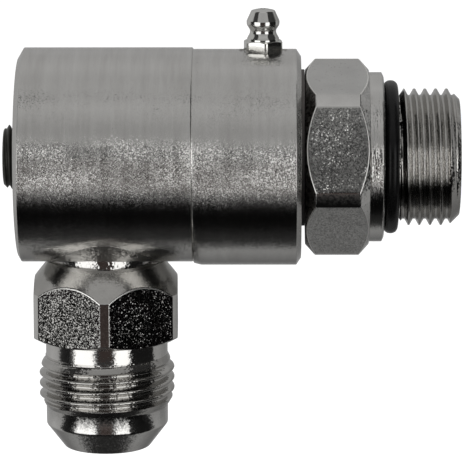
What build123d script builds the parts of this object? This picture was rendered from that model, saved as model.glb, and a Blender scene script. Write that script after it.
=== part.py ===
"""Right-angle ball-bearing hydraulic swivel joint, size 12 (1 1/16-12 threads at both ports).

The swivel axis is X and +X runs out of the boss stud, so the stem is the fixed half.
The flare port hangs along -Z and the grease fitting stands along +Z on the turning half.
The origin lies on the swivel axis where the boss thread begins beside its undercut.
All sizes are in millimetres.
"""

import os
from math import cos, pi, radians, sin, sqrt, tan

from build123d import *

os.makedirs("parts", exist_ok=True)

# Flow path, from which the walls of the stem and of the adapter are built up
flow_bore_dia = 15.5
bore_mouth_chamfer = 0.6

# Boss stud, the straight-thread port end of the stem
boss_thread_dia = 26.95
boss_thread_length = 9.8
boss_end_chamfer = 2.0
undercut_depth = 1.375
undercut_length = 3.1

# Port O-ring in the undercut
port_ring_section = 2.85
port_ring_height = 3.0

# Collar, wrench hexagon and neck of the stem
port_collar_margin = 1.6
port_collar_length = 2.9
port_collar_chamfer_axial = 0.38
port_collar_chamfer_radial = 0.8
stem_hex_flats = 34.925
stem_hex_length = 12.5
stem_hex_corner_height = 1.9
stem_hex_face_margin = 0.2625
stem_hex_chamfer = 1.95
stem_hex_turn = 13.5
neck_step = 0.55
face_gap = 0.8

# Journal of the stem and the thrust collar screwed on it
journal_wall = 3.35
hub_thread_step = 0.2
hub_wall = 1.4
hub_groove_depth = 0.184375
hub_overhang = 2.2
flange_height = 3.5
flange_width = 3.2
snap_ring_width = 1.1
snap_ring_height = 2.05
snap_ring_opening = 40
snap_groove_depth = 0.55

# Double-row ball bearing
ball_dia = 3.96875
row_spacing = 5.5
ball_clearance = 0.03
race_wall = 0.815625
race_reach = 3.05
race_back = 0.35
race_lip = 1.2
race_lip_gap = 0.9
shim_thickness = 0.3

# Walls of the barrel: spigot, bearing housing and elbow body
spigot_wall = 0.7
spigot_length = 6.9
spigot_thread_relief = 0.5
housing_wall = 3.3
front_lip = 0.55
neck_clearance = 0.1
housing_chamfer_axial = 0.95
housing_chamfer_radial = 1.45
barrel_step = 0.16
elbow_rise = 0.48
elbow_end_chamfer_depth = 1.5
elbow_end_chamfer_angle = 30
seam_corner_chamfer = 0.15
seam_bevel_length = 0.25
seam_bevel_height = 0.3
seam_taper_angle = 14

# Seals on the stem journal
journal_clearance = 0.06
seal_clearance = 0.05
gland_depth = 2.3
backup_width = 1.3
pressure_ring_width = 3.2
gland_spare_length = 0.2
gland_wall = 2.1
seal_land = 3.55
grease_seal_height = 2.5
grease_seal_width = 2.7
grease_seal_depth = 4.1
grease_seal_shell = 0.6
grease_seal_web = 0.95
wiper_height = 1.95
wiper_width = 1.7
wiper_recess = 0.2
wiper_lip_height = 0.4
wiper_lip_set_back = 0.5
spigot_ring_width = 1.4
spigot_ring_height = 1.1
spigot_groove_from_seam = 0.4
squeezed_corner_share = 0.45

# Flow chamber and side port of the elbow body
chamber_wall_step = 1.75
chamber_side_room = 0.82
stem_end_gap = 0.5
side_port_wall = 2.5
side_port_face_depth = 1.8
side_port_rim_clearance = 0.05

# Flare adapter, a 37 degree male end with its own hexagon
adapter_spigot_wall = 1.55
adapter_shoulder_width = 1.0
adapter_cone_angle = 36.5
adapter_body_length = 17.24
adapter_hex_flats = 28.4
adapter_hex_corner_height = 1.67
adapter_hex_face_margin = 0.1
adapter_hex_chamfer_angle = 30
flare_thread_dia = 26.95
flare_thread_depth = 1.34
flare_neck_length = 3.4
flare_run_out = 2.9
flare_thread_length = 5.4
flare_thread_chamfer = 2.3
flare_nose_length = 3.54
flare_nose_angle = 37
flare_nose_wall = 0.83

# Braze metal in the corner between the adapter's cone and the side port's face
braze_lip = 0.2

# End plug, a hollow-hexagon set screw
plug_thread_dia = 12.7
plug_engagement = 7.29
plug_stand_out = 2.97
plug_chamfer = 0.9
plug_hex_flats = 6.35
plug_hex_depth = 5.5
pilot_step = 0.85
pilot_length = 1.1

# Grease fitting with its ball check
fitting_offset = 0.79
fitting_hex_flats = 7.14
fitting_hex_turned_dia = 7.9
fitting_hex_height = 2.5
fitting_hex_turn = 14
fitting_thread_dia = 6.35
fitting_floor = 0.75
fitting_root_dia = 6.4
fitting_neck_dia = 5.1
fitting_neck_height = 4.1
fitting_head_dia = 6.45
fitting_head_height = 5.9
fitting_rim_height = 0.5
fitting_top_dia = 4.62
fitting_top_height = 8.18
fitting_tip_dia = 1.9
fitting_tip_height = 8.5
fitting_foot_tangent = (-1, 0.6)
fitting_rim_tangent = (1, 0.9)
fitting_orifice_dia = 1.1
fitting_orifice_depth = 0.6
fitting_seat_depth = 0.45
fitting_chamber_dia = 2.3
fitting_chamber_depth = 5.0
grease_hole_dia = 1.6
spot_face_dia = 9.4
spot_face_depth = 0.35
check_ball_dia = 1.8
check_ball_gap = 0.03
check_spring_dia = 1.9
check_spring_wire = 0.25
check_spring_coils = 5

# How far a cutting tool's outline runs past the metal it cuts
cut_margin = 1.0

# Radii, built up from the flow bore outwards
bore_r = flow_bore_dia / 2
journal_r = bore_r + journal_wall
journal_bore_r = journal_r + journal_clearance
hub_thread_r = journal_r + hub_thread_step
hub_r = hub_thread_r + hub_wall
flange_r = hub_r + flange_height
neck_r = hub_r + neck_step
ball_pitch_r = hub_r + ball_dia / 2 - hub_groove_depth
groove_r = ball_dia / 2 + ball_clearance
race_lip_r = hub_r + race_lip_gap
race_r = ball_pitch_r + ball_dia / 2 + race_wall
spigot_r = race_r + spigot_wall
housing_r = spigot_r + housing_wall
elbow_r = housing_r - barrel_step
elbow_end_face_r = elbow_r - elbow_end_chamfer_depth
gland_r = journal_r + gland_depth
grease_seal_r = journal_r + grease_seal_height
wiper_r = neck_r + wiper_height
chamber_r = bore_r + chamber_wall_step
boss_thread_r = boss_thread_dia / 2
undercut_r = boss_thread_r - undercut_depth
port_ring_r = undercut_r + port_ring_height
port_collar_r = port_ring_r + port_collar_margin
stem_hex_turned_r = stem_hex_flats / 2 + stem_hex_corner_height
stem_hex_face_r = stem_hex_flats / 2 - stem_hex_face_margin
plug_r = plug_thread_dia / 2
pilot_r = plug_r - pilot_step
# One ball fewer than would fill the circle, so that the balls can roll
ball_count = int(2 * pi * ball_pitch_r / ball_dia) - 1

# Places along the swivel axis, worked out from the port face inwards
port_face_x = -undercut_length
collar_left_x = port_face_x - port_collar_length
hex_left_x = collar_left_x - stem_hex_length
barrel_right_x = hex_left_x - face_gap
wiper_left_x = barrel_right_x - wiper_recess - wiper_width
race_seat_x = wiper_left_x - front_lip
front_row_x = race_seat_x - race_reach
bearing_x = front_row_x - row_spacing / 2
rear_row_x = bearing_x - row_spacing / 2
race_stack_end_x = rear_row_x - race_reach
spigot_end_x = race_stack_end_x - shim_thickness
seam_x = spigot_end_x - spigot_length
hub_right_x = front_row_x + hub_overhang
hub_left_x = rear_row_x - hub_overhang
grease_seal_floor_x = spigot_end_x - grease_seal_depth
gland_right_x = grease_seal_floor_x - seal_land
gland_left_x = gland_right_x - 2 * backup_width - pressure_ring_width - gland_spare_length
chamber_right_x = gland_left_x - gland_wall
stem_left_x = chamber_right_x + stem_end_gap
port_x = chamber_right_x - bore_r - chamber_side_room
chamber_left_x = port_x - bore_r - chamber_side_room
plug_inner_x = chamber_left_x - pilot_length
barrel_left_x = plug_inner_x - plug_engagement
plug_outer_x = barrel_left_x - plug_stand_out
stud_end_x = boss_thread_length + boss_end_chamfer
fitting_x = bearing_x + fitting_offset

# Heights and radii of the flare port, worked out from the elbow body's underside
side_port_seat_z = -chamber_r - side_port_wall
side_port_face_z = elbow_rise - elbow_r + side_port_face_depth
hex_bottom_z = side_port_face_z - adapter_body_length
adapter_spigot_r = bore_r + adapter_spigot_wall
adapter_shoulder_r = adapter_spigot_r + adapter_shoulder_width
cone_run = tan(radians(adapter_cone_angle))
side_port_face_r = adapter_shoulder_r + side_port_face_depth * cone_run + side_port_rim_clearance
adapter_hex_turned_r = adapter_hex_flats / 2 + adapter_hex_corner_height
adapter_hex_face_r = adapter_hex_flats / 2 - adapter_hex_face_margin
flare_thread_r = flare_thread_dia / 2
flare_root_r = flare_thread_r - flare_thread_depth
nose_tip_r = bore_r + flare_nose_wall

# Upright axes and planes of the flare port and of the grease fitting
port_plane = Plane(origin=(port_x, 0, 0), x_dir=(1, 0, 0), z_dir=(0, -1, 0))
port_axis = Axis((port_x, 0, 0), (0, 0, 1))
fitting_seat_z = housing_r - spot_face_depth
fitting_thread_length = fitting_seat_z - race_r - fitting_floor
fitting_plane = Plane(origin=(fitting_x, 0, fitting_seat_z), x_dir=(1, 0, 0), z_dir=(0, -1, 0))
fitting_axis = Axis((fitting_x, 0, fitting_seat_z), (0, 0, 1))


def section(points, plane=Plane.XY):
    """Closed outline through the points, as a face on the given plane."""
    with BuildSketch(plane) as outline:
        with BuildLine():
            Polyline(*points, close=True)
        make_face()
    return outline.sketch


def turn(points, mode=Mode.ADD):
    """Body of revolution about the swivel axis, from (x, radius) points."""
    revolve(section(points), axis=Axis.X, mode=mode)


def ring(x_left, x_right, r_inner, r_outer, mode=Mode.ADD):
    """Plain ring or, with no inner radius, disc about the swivel axis."""
    turn([(x_left, r_inner), (x_right, r_inner), (x_right, r_outer), (x_left, r_outer)], mode)


def ball_groove(row_x):
    """Raceway groove of one ball row, cut right round."""
    with BuildSketch(Plane.XY) as groove:
        with Locations((row_x, ball_pitch_r)):
            Circle(groove_r)
    revolve(groove.sketch, axis=Axis.X, mode=Mode.SUBTRACT)


def rounded_ring(x_left, x_right, r_inner, r_outer):
    """Elastomer ring of rounded-rectangle section, as an O-ring looks when it is squeezed."""
    width = x_right - x_left
    height = r_outer - r_inner
    with BuildSketch(Plane.XY) as squeezed:
        with Locations(((x_left + x_right) / 2, (r_inner + r_outer) / 2)):
            RectangleRounded(width, height, squeezed_corner_share * min(width, height))
    revolve(squeezed.sketch, axis=Axis.X)


# Stem: boss stud, collar, hexagon, bearing seat and sealed journal in one turned piece
with BuildPart() as stem:
    with BuildSketch(Plane.YZ.offset(hex_left_x)):
        RegularPolygon(stem_hex_flats / 2, 6, major_radius=False, rotation=30 - stem_hex_turn)
    extrude(amount=stem_hex_length)
    turn(
        [
            (hex_left_x, 0),
            (hex_left_x, stem_hex_face_r),
            (hex_left_x + stem_hex_chamfer, stem_hex_turned_r),
            (collar_left_x - stem_hex_chamfer, stem_hex_turned_r),
            (collar_left_x, stem_hex_face_r),
            (collar_left_x, 0),
        ],
        Mode.INTERSECT,
    )
    turn(
        [
            (stem_left_x, 0),
            (stem_left_x, journal_r - bore_mouth_chamfer),
            (stem_left_x + bore_mouth_chamfer, journal_r),
            (hub_left_x - snap_ring_width, journal_r),
            (hub_left_x - snap_ring_width, hub_thread_r - snap_groove_depth),
            (hub_left_x, hub_thread_r - snap_groove_depth),
            (hub_left_x, hub_thread_r),
            (hub_right_x, hub_thread_r),
            (hub_right_x, neck_r),
            (collar_left_x, neck_r),
            (collar_left_x, port_collar_r),
            (port_face_x - port_collar_chamfer_axial, port_collar_r),
            (port_face_x, port_collar_r - port_collar_chamfer_radial),
            (port_face_x, undercut_r),
            (0, undercut_r),
            (0, boss_thread_r),
            (boss_thread_length, boss_thread_r),
            (stud_end_x, boss_thread_r - boss_end_chamfer),
            (stud_end_x, 0),
        ]
    )
    turn(
        [
            (stem_left_x, 0),
            (stem_left_x, bore_r + bore_mouth_chamfer),
            (stem_left_x + bore_mouth_chamfer, bore_r),
            (stud_end_x - bore_mouth_chamfer, bore_r),
            (stud_end_x, bore_r + bore_mouth_chamfer),
            (stud_end_x, 0),
        ],
        Mode.SUBTRACT,
    )
stem.part.label = "stem"
export_step(stem.part, "parts/stem.step")

# Port O-ring, stretched into the undercut against the collar
with BuildPart() as port_o_ring:
    rounded_ring(port_face_x, port_face_x + port_ring_section, undercut_r, port_ring_r)
port_o_ring.part.label = "port_o_ring"
export_step(port_o_ring.part, "parts/port_o_ring.step")

# Thrust collar: the hardened inner race screwed on the stem, with a flange between the rows
with BuildPart() as thrust_collar:
    turn(
        [
            (hub_left_x, hub_thread_r),
            (hub_right_x, hub_thread_r),
            (hub_right_x, hub_r),
            (bearing_x + flange_width / 2, hub_r),
            (bearing_x + flange_width / 2, flange_r),
            (bearing_x - flange_width / 2, flange_r),
            (bearing_x - flange_width / 2, hub_r),
            (hub_left_x, hub_r),
        ]
    )
    ball_groove(front_row_x)
    ball_groove(rear_row_x)
thrust_collar.part.label = "thrust_collar"
export_step(thrust_collar.part, "parts/thrust_collar.step")

# Snap ring that locks the thrust collar, open over a short arc
snap_ring_inner_r = hub_thread_r - snap_groove_depth
with BuildPart() as snap_ring:
    ring(hub_left_x - snap_ring_width, hub_left_x, snap_ring_inner_r, snap_ring_inner_r + snap_ring_height)
    with BuildSketch(Plane.YZ.offset(hub_left_x - snap_ring_width)):
        with BuildLine():
            half_opening = radians(snap_ring_opening / 2)
            reach = 2 * (snap_ring_inner_r + snap_ring_height)
            Polyline(
                (0, 0),
                (-reach * sin(half_opening), -reach * cos(half_opening)),
                (reach * sin(half_opening), -reach * cos(half_opening)),
                close=True,
            )
        make_face()
    extrude(amount=snap_ring_width, mode=Mode.SUBTRACT)
snap_ring.part.label = "snap_ring"
export_step(snap_ring.part, "parts/snap_ring.step")

# Front and rear ball rows, each one full-complement set of separate balls
with BuildPart(Plane.YZ.offset(front_row_x)) as front_balls:
    with PolarLocations(ball_pitch_r, ball_count):
        Sphere(ball_dia / 2)
front_balls.part.label = "front_balls"
export_step(front_balls.part, "parts/front_balls.step")

with BuildPart(Plane.YZ.offset(rear_row_x)) as rear_balls:
    with PolarLocations(ball_pitch_r, ball_count, start_angle=180 / ball_count):
        Sphere(ball_dia / 2)
rear_balls.part.label = "rear_balls"
export_step(rear_balls.part, "parts/rear_balls.step")


def race_section(row_x, outward):
    """Outline of an outer race before its groove; outward is +1 or -1 away from the flange."""
    inner_x = row_x - outward * race_back
    outer_x = row_x + outward * race_reach
    return [
        (inner_x, race_r),
        (outer_x, race_r),
        (outer_x, race_lip_r),
        (row_x + outward * race_lip, race_lip_r),
        (inner_x, ball_pitch_r + race_lip),
    ]


# Front and rear outer races, mirror images that face each other across the flange
with BuildPart() as front_race:
    turn(race_section(front_row_x, 1))
    ball_groove(front_row_x)
front_race.part.label = "front_race"
export_step(front_race.part, "parts/front_race.step")

with BuildPart() as rear_race:
    turn(race_section(rear_row_x, -1))
    ball_groove(rear_row_x)
rear_race.part.label = "rear_race"
export_step(rear_race.part, "parts/rear_race.step")

# Shim that sets the bearing play, between the rear race and the spigot
with BuildPart() as bearing_shim:
    ring(spigot_end_x, race_stack_end_x, race_lip_r, race_r)
bearing_shim.part.label = "bearing_shim"
export_step(bearing_shim.part, "parts/bearing_shim.step")

# Elbow body: off-centre outside, spigot, seal glands, flow chamber and side port
thread_end_x = race_stack_end_x - 2 * spigot_thread_relief
end_chamfer_run = tan(radians(elbow_end_chamfer_angle))
outside_limit_r = elbow_r + elbow_rise + cut_margin
with BuildPart() as elbow_body:
    with BuildSketch(Plane.YZ.offset(barrel_left_x)):
        with Locations((0, elbow_rise)):
            Circle(elbow_r)
    extrude(amount=seam_x - barrel_left_x)
    elbow_right_rim = elbow_body.edges().filter_by(GeomType.CIRCLE).sort_by(Axis.X)[-1]
    chamfer(elbow_right_rim, seam_corner_chamfer)
    turn(
        [
            (barrel_left_x, 0),
            (barrel_left_x, elbow_end_face_r),
            (barrel_left_x + (outside_limit_r - elbow_end_face_r) * end_chamfer_run, outside_limit_r),
            (seam_x, outside_limit_r),
            (seam_x, 0),
        ],
        Mode.INTERSECT,
    )
    turn(
        [
            (seam_x, 0),
            (seam_x, spigot_r),
            (thread_end_x, spigot_r),
            (thread_end_x, race_r),
            (spigot_end_x, race_r),
            (spigot_end_x, 0),
        ]
    )
    ring(
        seam_x + spigot_groove_from_seam,
        seam_x + spigot_groove_from_seam + spigot_ring_width,
        spigot_r - spigot_ring_height,
        outside_limit_r,
        Mode.SUBTRACT,
    )
    turn(
        [
            (spigot_end_x, 0),
            (spigot_end_x, grease_seal_r),
            (grease_seal_floor_x, grease_seal_r),
            (grease_seal_floor_x, journal_bore_r),
            (gland_right_x, journal_bore_r),
            (gland_right_x, gland_r),
            (gland_left_x, gland_r),
            (gland_left_x, journal_bore_r),
            (chamber_right_x, journal_bore_r),
            (chamber_right_x, chamber_r),
            (chamber_left_x, chamber_r),
            (chamber_left_x, pilot_r),
            (plug_inner_x, pilot_r),
            (plug_inner_x, plug_r),
            (barrel_left_x, plug_r),
            (barrel_left_x, 0),
        ],
        Mode.SUBTRACT,
    )
    side_port_foot_z = -outside_limit_r
    revolve(
        section(
            [
                (0, 0),
                (bore_r, 0),
                (bore_r, side_port_seat_z),
                (adapter_spigot_r, side_port_seat_z),
                (adapter_spigot_r, side_port_face_z),
                (side_port_face_r, side_port_face_z),
                (side_port_face_r, side_port_foot_z),
                (0, side_port_foot_z),
            ],
            port_plane,
        ),
        axis=port_axis,
        mode=Mode.SUBTRACT,
    )
elbow_body.part.label = "elbow_body"
export_step(elbow_body.part, "parts/elbow_body.step")

# Bearing housing: bevelled and blended down to the elbow body's diameter at the seam
taper_start_x = seam_x + seam_bevel_length
taper_start_r = elbow_r + seam_bevel_height
taper_reach = (barrel_step + elbow_rise + cut_margin) / tan(radians(seam_taper_angle))
taper_end_x = min(taper_start_x + taper_reach, barrel_right_x - housing_chamfer_axial)
taper_end_r = taper_start_r + (taper_end_x - taper_start_x) * tan(radians(seam_taper_angle))
elbow_axis = Axis((0, 0, elbow_rise), (1, 0, 0))
elbow_plane = Plane(origin=(0, 0, elbow_rise), x_dir=(1, 0, 0), z_dir=(0, 0, 1))
clear_r = taper_end_r + elbow_rise + cut_margin
with BuildPart() as bearing_housing:
    turn(
        [
            (seam_x, 0),
            (seam_x, housing_r),
            (barrel_right_x - housing_chamfer_axial, housing_r),
            (barrel_right_x, housing_r - housing_chamfer_radial),
            (barrel_right_x, 0),
        ]
    )
    revolve(
        section(
            [
                (seam_x, elbow_r),
                (taper_start_x, taper_start_r),
                (taper_end_x, taper_end_r),
                (taper_end_x, clear_r),
                (seam_x, clear_r),
            ],
            elbow_plane,
        ),
        axis=elbow_axis,
        mode=Mode.SUBTRACT,
    )
    turn(
        [
            (seam_x, 0),
            (seam_x, spigot_r),
            (thread_end_x + spigot_thread_relief, spigot_r),
            (thread_end_x + spigot_thread_relief, race_r),
            (race_seat_x, race_r),
            (race_seat_x, neck_r + neck_clearance),
            (wiper_left_x, neck_r + neck_clearance),
            (wiper_left_x, wiper_r),
            (barrel_right_x, wiper_r),
            (barrel_right_x, 0),
        ],
        Mode.SUBTRACT,
    )
    with BuildSketch(Plane.XY.offset(fitting_seat_z)):
        with Locations((fitting_x, 0)):
            Circle(spot_face_dia / 2)
    extrude(amount=2 * spot_face_depth, mode=Mode.SUBTRACT)
    with BuildSketch(Plane.XY.offset(fitting_seat_z - fitting_thread_length)):
        with Locations((fitting_x, 0)):
            Circle(fitting_thread_dia / 2)
    extrude(amount=fitting_thread_length, mode=Mode.SUBTRACT)
    with BuildSketch(Plane.XY.offset(race_r - ball_dia)):
        with Locations((fitting_x, 0)):
            Circle(grease_hole_dia / 2)
    extrude(amount=housing_r - race_r + ball_dia, mode=Mode.SUBTRACT)
bearing_housing.part.label = "bearing_housing"
export_step(bearing_housing.part, "parts/bearing_housing.step")

# O-ring in the spigot groove, which keeps the bearing grease inside
with BuildPart() as spigot_o_ring:
    ring_x = seam_x + spigot_groove_from_seam
    rounded_ring(ring_x, ring_x + spigot_ring_width, spigot_r - spigot_ring_height, spigot_r)
spigot_o_ring.part.label = "spigot_o_ring"
export_step(spigot_o_ring.part, "parts/spigot_o_ring.step")

# Wiper in the housing's end face, running on the stem neck
with BuildPart() as wiper_seal:
    wiper_lip_r = neck_r + seal_clearance
    turn(
        [
            (wiper_left_x, wiper_lip_r + wiper_lip_height),
            (wiper_left_x, wiper_r),
            (wiper_left_x + wiper_width, wiper_r),
            (wiper_left_x + wiper_width, wiper_lip_r + wiper_lip_height),
            (wiper_left_x + wiper_width - wiper_lip_set_back, wiper_lip_r),
        ]
    )
wiper_seal.part.label = "wiper_seal"
export_step(wiper_seal.part, "parts/wiper_seal.step")

# Grease seal at the mouth of the spigot: shell, lip and the hollow behind the lip
with BuildPart() as grease_seal:
    seal_lip_r = journal_r + seal_clearance
    seal_right_x = grease_seal_floor_x + grease_seal_width
    turn(
        [
            (grease_seal_floor_x, seal_lip_r + grease_seal_shell),
            (grease_seal_floor_x, grease_seal_r),
            (seal_right_x, grease_seal_r),
            (seal_right_x, grease_seal_r - grease_seal_shell),
            (grease_seal_floor_x + grease_seal_web, grease_seal_r - grease_seal_shell),
            (seal_right_x, seal_lip_r + grease_seal_shell),
            (seal_right_x, seal_lip_r),
        ]
    )
grease_seal.part.label = "grease_seal"
export_step(grease_seal.part, "parts/grease_seal.step")

# Pressure O-ring between its two backup rings in the main gland
pressure_left_x = gland_left_x + backup_width + gland_spare_length / 2
with BuildPart() as pressure_o_ring:
    rounded_ring(
        pressure_left_x,
        pressure_left_x + pressure_ring_width,
        journal_r + seal_clearance,
        gland_r,
    )
pressure_o_ring.part.label = "pressure_o_ring"
export_step(pressure_o_ring.part, "parts/pressure_o_ring.step")

with BuildPart() as rear_backup_ring:
    ring(gland_left_x, gland_left_x + backup_width, journal_r + seal_clearance, gland_r)
rear_backup_ring.part.label = "rear_backup_ring"
export_step(rear_backup_ring.part, "parts/rear_backup_ring.step")

with BuildPart() as front_backup_ring:
    ring(gland_right_x - backup_width, gland_right_x, journal_r + seal_clearance, gland_r)
front_backup_ring.part.label = "front_backup_ring"
export_step(front_backup_ring.part, "parts/front_backup_ring.step")

# Flare adapter: spigot, cone, hexagon, straight thread and 37 degree nose
cone_foot_z = side_port_face_z - (adapter_hex_turned_r - adapter_shoulder_r) / cone_run
hex_chamfer_run = tan(radians(adapter_hex_chamfer_angle))
hex_corner_z = hex_bottom_z + (adapter_hex_turned_r - adapter_hex_face_r) * hex_chamfer_run
flare_top_z = hex_bottom_z - flare_neck_length
thread_start_z = flare_top_z - flare_run_out
thread_stop_z = thread_start_z - flare_thread_length
flare_foot_z = thread_stop_z - flare_thread_chamfer
nose_edge_z = flare_foot_z - flare_nose_length
nose_tip_z = nose_edge_z - (flare_root_r - nose_tip_r) / tan(radians(flare_nose_angle))
with BuildPart() as flare_adapter:
    with BuildSketch(Plane.XY.offset(hex_bottom_z)):
        with Locations((port_x, 0)):
            RegularPolygon(adapter_hex_flats / 2, 6, major_radius=False, rotation=30)
    extrude(amount=adapter_body_length)
    revolve(
        section(
            [
                (0, side_port_face_z),
                (adapter_shoulder_r, side_port_face_z),
                (adapter_hex_turned_r, cone_foot_z),
                (adapter_hex_turned_r, hex_corner_z),
                (adapter_hex_face_r, hex_bottom_z),
                (0, hex_bottom_z),
            ],
            port_plane,
        ),
        axis=port_axis,
        mode=Mode.INTERSECT,
    )
    revolve(
        section(
            [
                (0, side_port_face_z),
                (adapter_spigot_r, side_port_face_z),
                (adapter_spigot_r, side_port_seat_z),
                (0, side_port_seat_z),
            ],
            port_plane,
        ),
        axis=port_axis,
    )
    revolve(
        section(
            [
                (0, hex_bottom_z),
                (flare_root_r, hex_bottom_z),
                (flare_root_r, flare_top_z),
                (flare_thread_r, thread_start_z),
                (flare_thread_r, thread_stop_z),
                (flare_root_r, flare_foot_z),
                (flare_root_r, nose_edge_z),
                (nose_tip_r, nose_tip_z),
                (0, nose_tip_z),
            ],
            port_plane,
        ),
        axis=port_axis,
    )
    with BuildSketch(Plane.XY.offset(nose_tip_z)):
        with Locations((port_x, 0)):
            Circle(bore_r)
    extrude(amount=side_port_seat_z - nose_tip_z, mode=Mode.SUBTRACT)
flare_adapter.part.label = "flare_adapter"
export_step(flare_adapter.part, "parts/flare_adapter.step")

# Braze metal: fills the corner between the cone and the flat face, out to the face's rim
braze_foot_r = side_port_face_r - braze_lip
braze_foot_z = side_port_face_z - (braze_foot_r - adapter_shoulder_r) / cone_run
with BuildPart() as braze_ring:
    revolve(
        section(
            [
                (adapter_shoulder_r, side_port_face_z),
                (braze_foot_r, braze_foot_z),
                (side_port_face_r, braze_foot_z + braze_lip),
                (side_port_face_r, side_port_face_z),
            ],
            port_plane,
        ),
        axis=port_axis,
    )
braze_ring.part.label = "braze_ring"
export_step(braze_ring.part, "parts/braze_ring.step")

# End plug: a set screw with a hollow hexagon, standing a little proud
with BuildPart() as end_plug:
    turn(
        [
            (plug_outer_x, 0),
            (plug_outer_x, plug_r - plug_chamfer),
            (plug_outer_x + plug_chamfer, plug_r),
            (plug_inner_x, plug_r),
            (plug_inner_x, 0),
        ]
    )
    with BuildSketch(Plane.YZ.offset(plug_outer_x)):
        RegularPolygon(plug_hex_flats / 2, 6, major_radius=False)
    extrude(amount=plug_hex_depth, mode=Mode.SUBTRACT)
end_plug.part.label = "end_plug"
export_step(end_plug.part, "parts/end_plug.step")

# Grease fitting: hexagon, waisted neck, coupler head and the ball check's chamber
ball_lift = sqrt((check_ball_dia / 2) ** 2 - (fitting_orifice_dia / 2) ** 2)
chamber_top_z = fitting_tip_height - fitting_orifice_depth
chamber_foot_z = chamber_top_z - fitting_chamber_depth
with BuildPart() as grease_fitting:
    with BuildSketch(Plane.XY.offset(fitting_seat_z)):
        with Locations((fitting_x, 0)):
            RegularPolygon(fitting_hex_flats / 2, 6, major_radius=False, rotation=-fitting_hex_turn)
    extrude(amount=fitting_hex_height)
    with BuildSketch(Plane.XY.offset(fitting_seat_z)):
        with Locations((fitting_x, 0)):
            Circle(fitting_hex_turned_dia / 2)
    extrude(amount=fitting_hex_height, mode=Mode.INTERSECT)
    with BuildSketch(fitting_plane) as fitting_outline:
        with BuildLine():
            hex_top = (fitting_root_dia / 2, fitting_hex_height)
            waist = (fitting_neck_dia / 2, fitting_neck_height)
            rim_low = (fitting_head_dia / 2, fitting_head_height - fitting_rim_height / 2)
            rim_high = (fitting_head_dia / 2, fitting_head_height + fitting_rim_height / 2)
            top_edge = (fitting_top_dia / 2, fitting_top_height)
            tip_edge = (fitting_tip_dia / 2, fitting_tip_height)
            Line((0, -fitting_thread_length), (fitting_thread_dia / 2, -fitting_thread_length))
            Line((fitting_thread_dia / 2, -fitting_thread_length), (fitting_thread_dia / 2, 0))
            Line((fitting_thread_dia / 2, 0), hex_top)
            Spline(hex_top, waist, rim_low, tangents=(fitting_foot_tangent, fitting_rim_tangent))
            Line(rim_low, rim_high)
            Line(rim_high, top_edge)
            Line(top_edge, tip_edge)
            Line(tip_edge, (0, fitting_tip_height))
            Line((0, fitting_tip_height), (0, -fitting_thread_length))
        make_face()
    revolve(fitting_outline.sketch, axis=fitting_axis)
    revolve(
        section(
            [
                (0, fitting_tip_height),
                (fitting_orifice_dia / 2, fitting_tip_height),
                (fitting_orifice_dia / 2, chamber_top_z),
                (fitting_chamber_dia / 2, chamber_top_z - fitting_seat_depth),
                (fitting_chamber_dia / 2, chamber_foot_z),
                (grease_hole_dia / 2, chamber_foot_z),
                (grease_hole_dia / 2, -fitting_thread_length),
                (0, -fitting_thread_length),
            ],
            fitting_plane,
        ),
        axis=fitting_axis,
        mode=Mode.SUBTRACT,
    )
grease_fitting.part.label = "grease_fitting"
export_step(grease_fitting.part, "parts/grease_fitting.step")

# Check ball, a hair below its seat behind the tip orifice
ball_centre_z = fitting_seat_z + chamber_top_z - ball_lift - check_ball_gap
with BuildPart() as check_ball:
    with Locations((fitting_x, 0, ball_centre_z)):
        Sphere(check_ball_dia / 2)
check_ball.part.label = "check_ball"
export_step(check_ball.part, "parts/check_ball.step")

# Check spring, one helix from the chamber's floor to the underside of the ball
spring_foot_z = fitting_seat_z + chamber_foot_z + check_spring_wire / 2
spring_top_z = ball_centre_z - check_ball_dia / 2 + check_spring_wire / 2
spring_r = (check_spring_dia - check_spring_wire) / 2
spring_height = spring_top_z - spring_foot_z
spring_pitch = spring_height / check_spring_coils
with BuildPart() as check_spring:
    with BuildLine():
        coil = Helix(spring_pitch, spring_height, spring_r, (fitting_x, 0, spring_foot_z))
    with BuildSketch(Plane(origin=coil @ 0, z_dir=coil % 0)):
        Rectangle(check_spring_wire, check_spring_wire)
    sweep(is_frenet=True)
check_spring.part.label = "check_spring"
export_step(check_spring.part, "parts/check_spring.step")
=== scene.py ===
# Hydraulic swivel joint: plated steel stem, barrel and flare adapter, black plug, rubber port ring.
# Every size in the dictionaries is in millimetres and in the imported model's frame.
import bmesh
import bpy
import numpy as np
from mathutils import Matrix, Vector


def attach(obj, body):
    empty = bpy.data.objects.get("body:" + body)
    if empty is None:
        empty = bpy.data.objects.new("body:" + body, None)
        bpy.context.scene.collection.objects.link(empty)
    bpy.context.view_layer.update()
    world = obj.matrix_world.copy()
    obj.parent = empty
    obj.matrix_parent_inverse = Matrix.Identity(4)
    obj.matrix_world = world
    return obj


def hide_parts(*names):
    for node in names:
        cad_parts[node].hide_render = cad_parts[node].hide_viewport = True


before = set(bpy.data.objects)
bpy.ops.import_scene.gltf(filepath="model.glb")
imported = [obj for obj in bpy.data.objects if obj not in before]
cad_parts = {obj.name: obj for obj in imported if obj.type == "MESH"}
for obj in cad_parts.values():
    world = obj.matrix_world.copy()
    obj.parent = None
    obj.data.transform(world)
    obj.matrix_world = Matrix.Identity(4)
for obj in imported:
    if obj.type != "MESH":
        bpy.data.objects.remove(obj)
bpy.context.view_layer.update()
mm = 0.001
cornerRows = 6  # what softened makes of one row: a hold, four on the curve and a hold


# Shapes are grids of (along, radius) rows turned about an axis

def evenAngles(count):
    return np.linspace(0, 360, count + 1)


def hexBorder(hexagon):
    # Angle from a flat's middle to its edge, where the turned circle meets the flat
    return np.degrees(np.arccos(hexagon["flats"] / hexagon["turned"]))


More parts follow.
